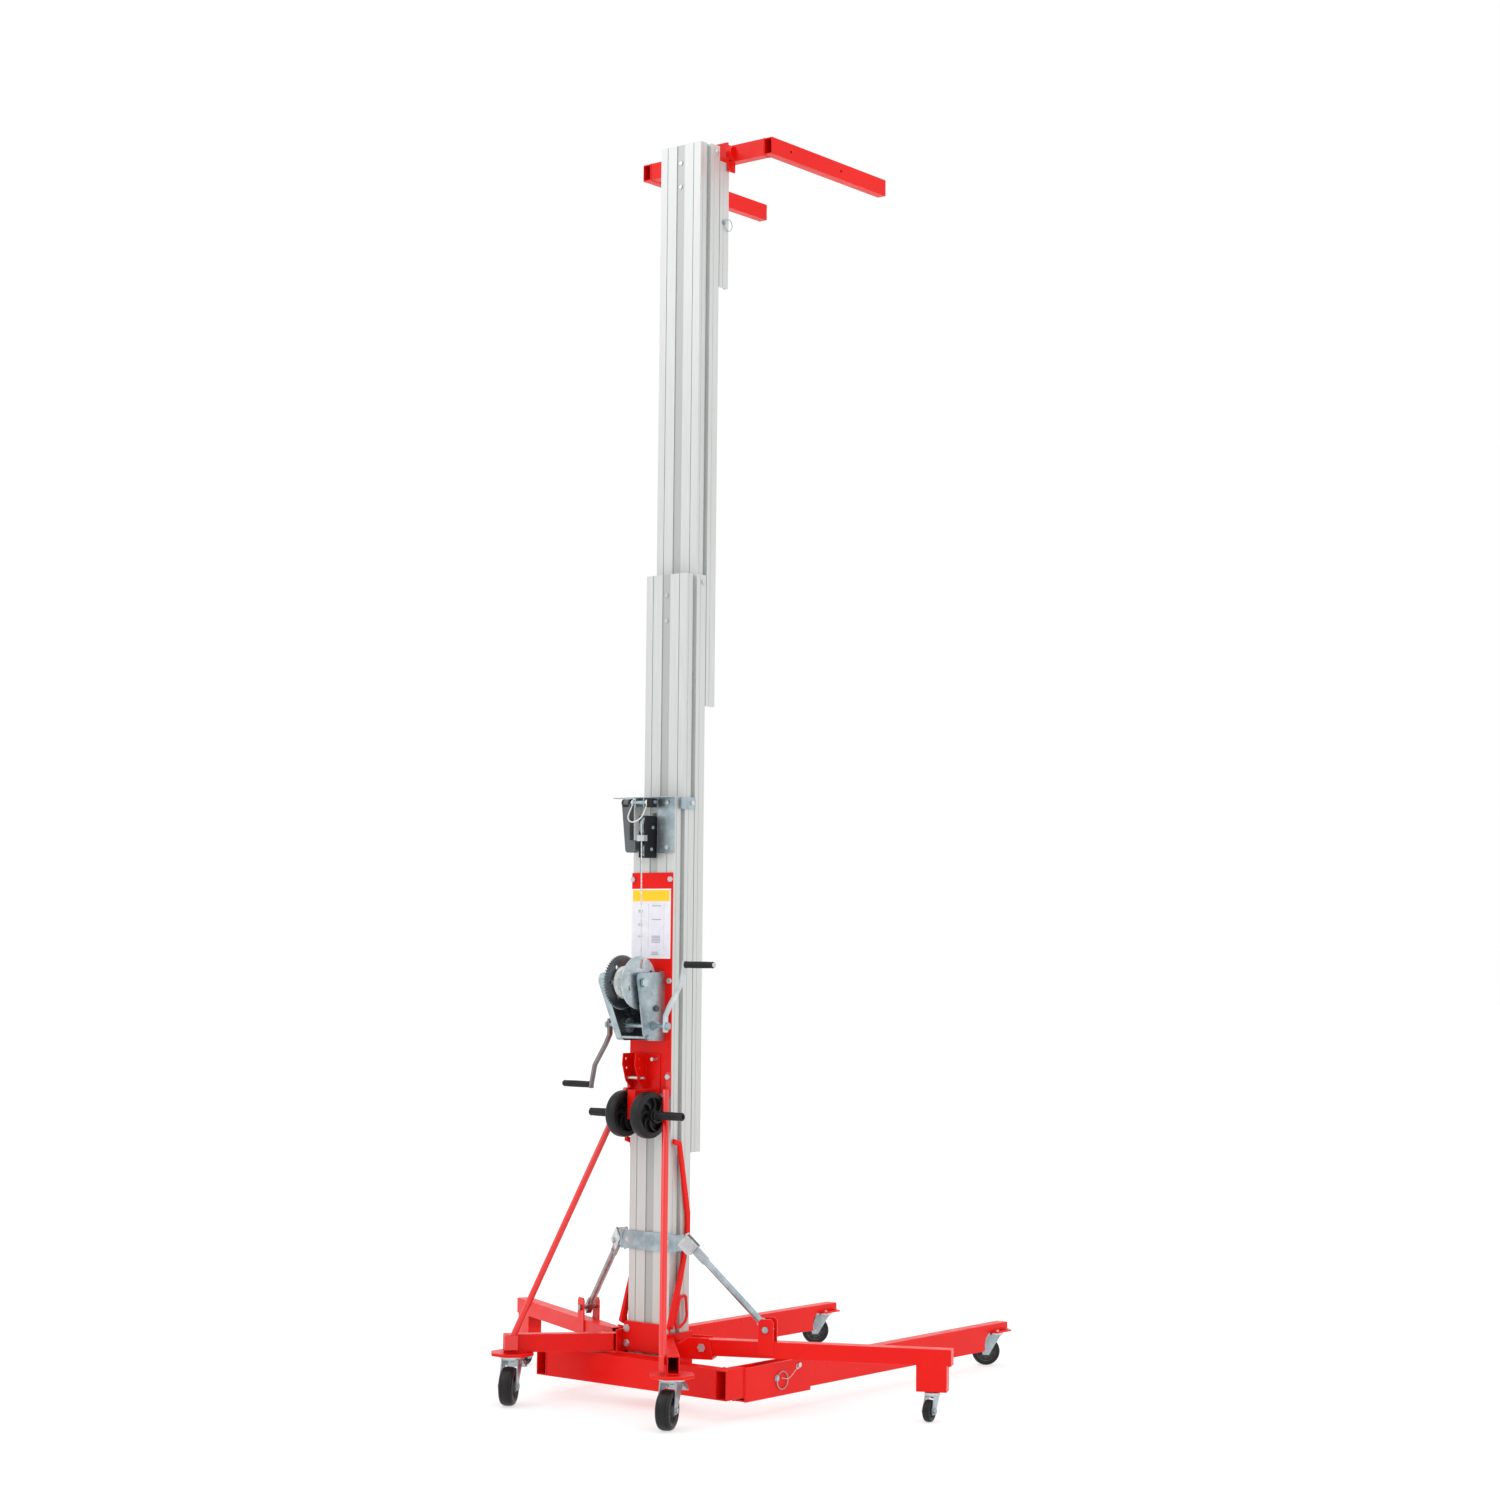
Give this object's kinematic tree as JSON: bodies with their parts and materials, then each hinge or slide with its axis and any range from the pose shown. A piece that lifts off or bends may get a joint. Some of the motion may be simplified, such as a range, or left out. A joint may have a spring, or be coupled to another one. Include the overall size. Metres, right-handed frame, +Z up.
{
  "type": "manual telescoping mast material lift",
  "caption": "Hand-winched material lift: telescoping aluminium mast, fork carriage, red wheeled base with long front legs and folding side stabilisers.",
  "frame": {"origin": "on the floor, at the centre of the whole lift's plan outline", "axes": "X to the operator's right, Y forward along the forks and legs, Z up"},
  "size_m": [1.8772, 1.8927, 4.22],
  "materials": {
    "red_paint": "glossy powder coat",
    "aluminium": "satin anodised",
    "zinc": "bright zinc plate",
    "tyre": "matt black",
    "black_plastic": "satin",
    "grey_plastic": "satin",
    "label": "satin film",
    "wire": "bright wire"
  },
  "bodies": {
    "base": {"base_frame": "red_paint", "leg_left": "red_paint", "leg_right": "red_paint", "caster_plates": "red_paint", "rear_beams": "red_paint", "rear_braces": "red_paint", "mast_foot": "red_paint", "mast_outer": "aluminium", "stab_mounts": "red_paint", "brace_bracket": "zinc", "winch_plate": "red_paint", "label_plate": "label", "winch_frame": "zinc", "lower_bracket": "red_paint", "carry_axle": "black_plastic", "side_bars": "red_paint", "top_bracket": "zinc", "pulley_block": "black_plastic", "lift_cable": "wire", "root_fittings": "zinc"},
    "mast_middle": {"mast_middle": "aluminium"},
    "mast_inner": {"mast_inner": "aluminium"},
    "carriage": {"carriage_column": "aluminium", "fork_crossbar": "red_paint", "fork_left": "red_paint", "fork_right": "red_paint"},
    "drum": {"drum": "zinc", "rope_coil": "wire"},
    "crank": {"crank_shaft": "zinc", "crank_arms": "zinc"},
    "idler_gear": {"idler_gear": "zinc"},
    "carriage_pin": {"carriage_pin": "zinc"},
    "leg_pin_left": {"leg_pin_left": "zinc"},
    "leg_pin_right": {"leg_pin_right": "zinc"},
    "stab_arm_left": {"stab_arm_left": "red_paint"},
    "stab_arm_right": {"stab_arm_right": "red_paint"},
    "stab_rod_left": {"stab_rod_left": "zinc"},
    "stab_rod_right": {"stab_rod_right": "zinc"},
    "rear_fork_left": {"rear_fork_left": "zinc"},
    "rear_fork_right": {"rear_fork_right": "zinc"},
    "rear_wheel_left": {"rear_wheel_left": "tyre"},
    "rear_wheel_right": {"rear_wheel_right": "tyre"},
    "brake_left": {"brake_left": "zinc"},
    "brake_right": {"brake_right": "zinc"},
    "front_fork_left": {"front_fork_left": "zinc"},
    "front_fork_right": {"front_fork_right": "zinc"},
    "front_wheel_left": {"front_wheel_left": "tyre"},
    "front_wheel_right": {"front_wheel_right": "tyre"},
    "stab_fork_left": {"stab_fork_left": "zinc"},
    "stab_fork_right": {"stab_fork_right": "zinc"},
    "stab_wheel_left": {"stab_wheel_left": "tyre"},
    "stab_wheel_right": {"stab_wheel_right": "tyre"},
    "crank_grip_right": {"crank_grip_right": "black_plastic"},
    "crank_grip_left": {"crank_grip_left": "black_plastic"},
    "carry_wheel_left": {"carry_wheel_left": "black_plastic"},
    "carry_wheel_right": {"carry_wheel_right": "black_plastic"},
    "upper_sheave": {"upper_sheave": "zinc"},
    "lower_sheave": {"lower_sheave": "zinc"},
    "latch_lever": {"latch_lever": "grey_plastic"},
    "wire_bail": {"wire_bail": "zinc"}
  },
  "joints": [
    {"name": "middle_slide", "type": "slide", "parent": "base", "child": "mast_middle", "axis": [0, 0, 1], "range_m": [-0.745, 0.727]},
    {"name": "inner_slide", "type": "slide", "parent": "mast_middle", "child": "mast_inner", "axis": [0, 0, 1], "range_m": [-1.473, 0]},
    {"name": "carriage_slide", "type": "slide", "parent": "mast_inner", "child": "carriage", "axis": [0, 0, 1], "range_m": [-1.42, 0]},
    {"name": "carriage_pin_pull", "type": "slide", "parent": "carriage", "child": "carriage_pin", "axis": [1, 0, 0], "range_m": [0, 0.03]},
    {"name": "leg_pin_left_pull", "type": "slide", "parent": "base", "child": "leg_pin_left", "axis": [-1, 0, 0], "range_m": [0, 0.07]},
    {"name": "leg_pin_right_pull", "type": "slide", "parent": "base", "child": "leg_pin_right", "axis": [1, 0, 0], "range_m": [0, 0.07]},
    {"name": "stab_left_fold", "type": "hinge", "parent": "base", "child": "stab_arm_left", "pos_m": [-0.195, -0.5136, 0.2], "axis": [0.4258, 0.9048, 0], "range_deg": [0, 75]},
    {"name": "rod_left_fold", "type": "hinge", "parent": "stab_arm_left", "child": "stab_rod_left", "pos_m": [-0.38501, -0.42419, 0.265], "axis": [0.4258, 0.9048, 0], "range_deg": [-132, 0]},
    {"name": "stab_left_swivel", "type": "hinge", "parent": "stab_arm_left", "child": "stab_fork_left", "pos_m": [-0.87091, -0.19554, 0.09], "axis": [0, 0, 1], "continuous": true},
    {"name": "stab_left_roll", "type": "hinge", "parent": "stab_fork_left", "child": "stab_wheel_left", "pos_m": [-0.8655, -0.22097, 0.035], "axis": [0.9781, 0.2079, 0], "continuous": true},
    {"name": "rear_left_swivel", "type": "hinge", "parent": "base", "child": "rear_fork_left", "pos_m": [-0.34, -0.8436, 0.155], "axis": [0, 0, 1], "continuous": true},
    {"name": "rear_left_roll", "type": "hinge", "parent": "rear_fork_left", "child": "rear_wheel_left", "pos_m": [-0.318, -0.88171, 0.0625], "axis": [0.866, 0.5, 0], "continuous": true},
    {"name": "brake_left_press", "type": "hinge", "parent": "rear_fork_left", "child": "brake_left", "pos_m": [-0.347, -0.83148, 0.134], "axis": [0.866, 0.5, 0], "range_deg": [-12, 0]},
    {"name": "front_left_swivel", "type": "hinge", "parent": "base", "child": "front_fork_left", "pos_m": [-0.3835, 0.8944, 0.118], "axis": [0, 0, 1], "continuous": true},
    {"name": "front_left_roll", "type": "hinge", "parent": "front_fork_left", "child": "front_wheel_left", "pos_m": [-0.40714, 0.87593, 0.05], "axis": [0.6157, -0.788, 0], "continuous": true},
    {"name": "carry_wheel_left_spin", "type": "hinge", "parent": "base", "child": "carry_wheel_left", "pos_m": [-0.046, -0.6456, 0.941], "axis": [1, 0, 0], "continuous": true},
    {"name": "grip_left_spin", "type": "hinge", "parent": "crank", "child": "crank_grip_left", "pos_m": [-0.269, -0.6256, 1.028], "axis": [1, 0, 0], "continuous": true},
    {"name": "stab_right_fold", "type": "hinge", "parent": "base", "child": "stab_arm_right", "pos_m": [0.195, -0.5136, 0.2], "axis": [0.4258, -0.9048, 0], "range_deg": [0, 75]},
    {"name": "rod_right_fold", "type": "hinge", "parent": "stab_arm_right", "child": "stab_rod_right", "pos_m": [0.38501, -0.42419, 0.265], "axis": [0.4258, -0.9048, 0], "range_deg": [-132, 0]},
    {"name": "stab_right_swivel", "type": "hinge", "parent": "stab_arm_right", "child": "stab_fork_right", "pos_m": [0.87091, -0.19554, 0.09], "axis": [0, 0, 1], "continuous": true},
    {"name": "stab_right_roll", "type": "hinge", "parent": "stab_fork_right", "child": "stab_wheel_right", "pos_m": [0.87631, -0.22097, 0.035], "axis": [0.9781, 0.2079, 0], "continuous": true},
    {"name": "rear_right_swivel", "type": "hinge", "parent": "base", "child": "rear_fork_right", "pos_m": [0.34, -0.8436, 0.155], "axis": [0, 0, 1], "continuous": true},
    {"name": "rear_right_roll", "type": "hinge", "parent": "rear_fork_right", "child": "rear_wheel_right", "pos_m": [0.35648, -0.8844, 0.0625], "axis": [0.9272, 0.3746, 0], "continuous": true},
    {"name": "brake_right_press", "type": "hinge", "parent": "rear_fork_right", "child": "brake_right", "pos_m": [0.33476, -0.83062, 0.134], "axis": [0.9272, 0.3746, 0], "range_deg": [-12, 0]},
    {"name": "front_right_swivel", "type": "hinge", "parent": "base", "child": "front_fork_right", "pos_m": [0.3835, 0.8944, 0.118], "axis": [0, 0, 1], "continuous": true},
    {"name": "front_right_roll", "type": "hinge", "parent": "front_fork_right", "child": "front_wheel_right", "pos_m": [0.35986, 0.87593, 0.05], "axis": [0.6157, -0.788, 0], "continuous": true},
    {"name": "carry_wheel_right_spin", "type": "hinge", "parent": "base", "child": "carry_wheel_right", "pos_m": [0.063, -0.6456, 0.941], "axis": [1, 0, 0], "continuous": true},
    {"name": "grip_right_spin", "type": "hinge", "parent": "crank", "child": "crank_grip_right", "pos_m": [0.253, -0.6256, 1.428], "axis": [1, 0, 0], "continuous": true},
    {"name": "drum_turn", "type": "hinge", "parent": "base", "child": "drum", "pos_m": [0, -0.6786, 1.368], "axis": [1, 0, 0], "continuous": true},
    {"name": "crank_turn", "type": "hinge", "parent": "base", "child": "crank", "pos_m": [0, -0.6256, 1.228], "axis": [1, 0, 0], "continuous": true},
    {"name": "upper_sheave_spin", "type": "hinge", "parent": "base", "child": "upper_sheave", "pos_m": [0, -0.5876, 1.876], "axis": [1, 0, 0], "continuous": true},
    {"name": "lower_sheave_spin", "type": "hinge", "parent": "base", "child": "lower_sheave", "pos_m": [0, -0.5936, 1.804], "axis": [1, 0, 0], "continuous": true},
    {"name": "latch_swing", "type": "hinge", "parent": "base", "child": "latch_lever", "pos_m": [-0.085, -0.5976, 1.959], "axis": [1, 0, 0], "range_deg": [-80, 0]},
    {"name": "bail_swing", "type": "hinge", "parent": "base", "child": "wire_bail", "pos_m": [-0.03, -0.5976, 1.959], "axis": [1, 0, 0], "range_deg": [-55, 3]},
    {"name": "idler_turn", "type": "hinge", "parent": "base", "child": "idler_gear", "pos_m": [0, -0.6136, 1.284], "axis": [1, 0, 0], "continuous": true}
  ],
  "couplings": [
    {"joint": "drum_turn", "follows": "middle_slide", "rad_per_m": -17.7},
    {"joint": "idler_turn", "follows": "middle_slide", "rad_per_m": 76.246},
    {"joint": "crank_turn", "follows": "middle_slide", "rad_per_m": -125.26},
    {"joint": "upper_sheave_spin", "follows": "middle_slide", "rad_per_m": 26.4},
    {"joint": "rod_left_fold", "follows": "stab_left_fold", "ratio": -1.753},
    {"joint": "rod_right_fold", "follows": "stab_right_fold", "ratio": -1.753}
  ]
}
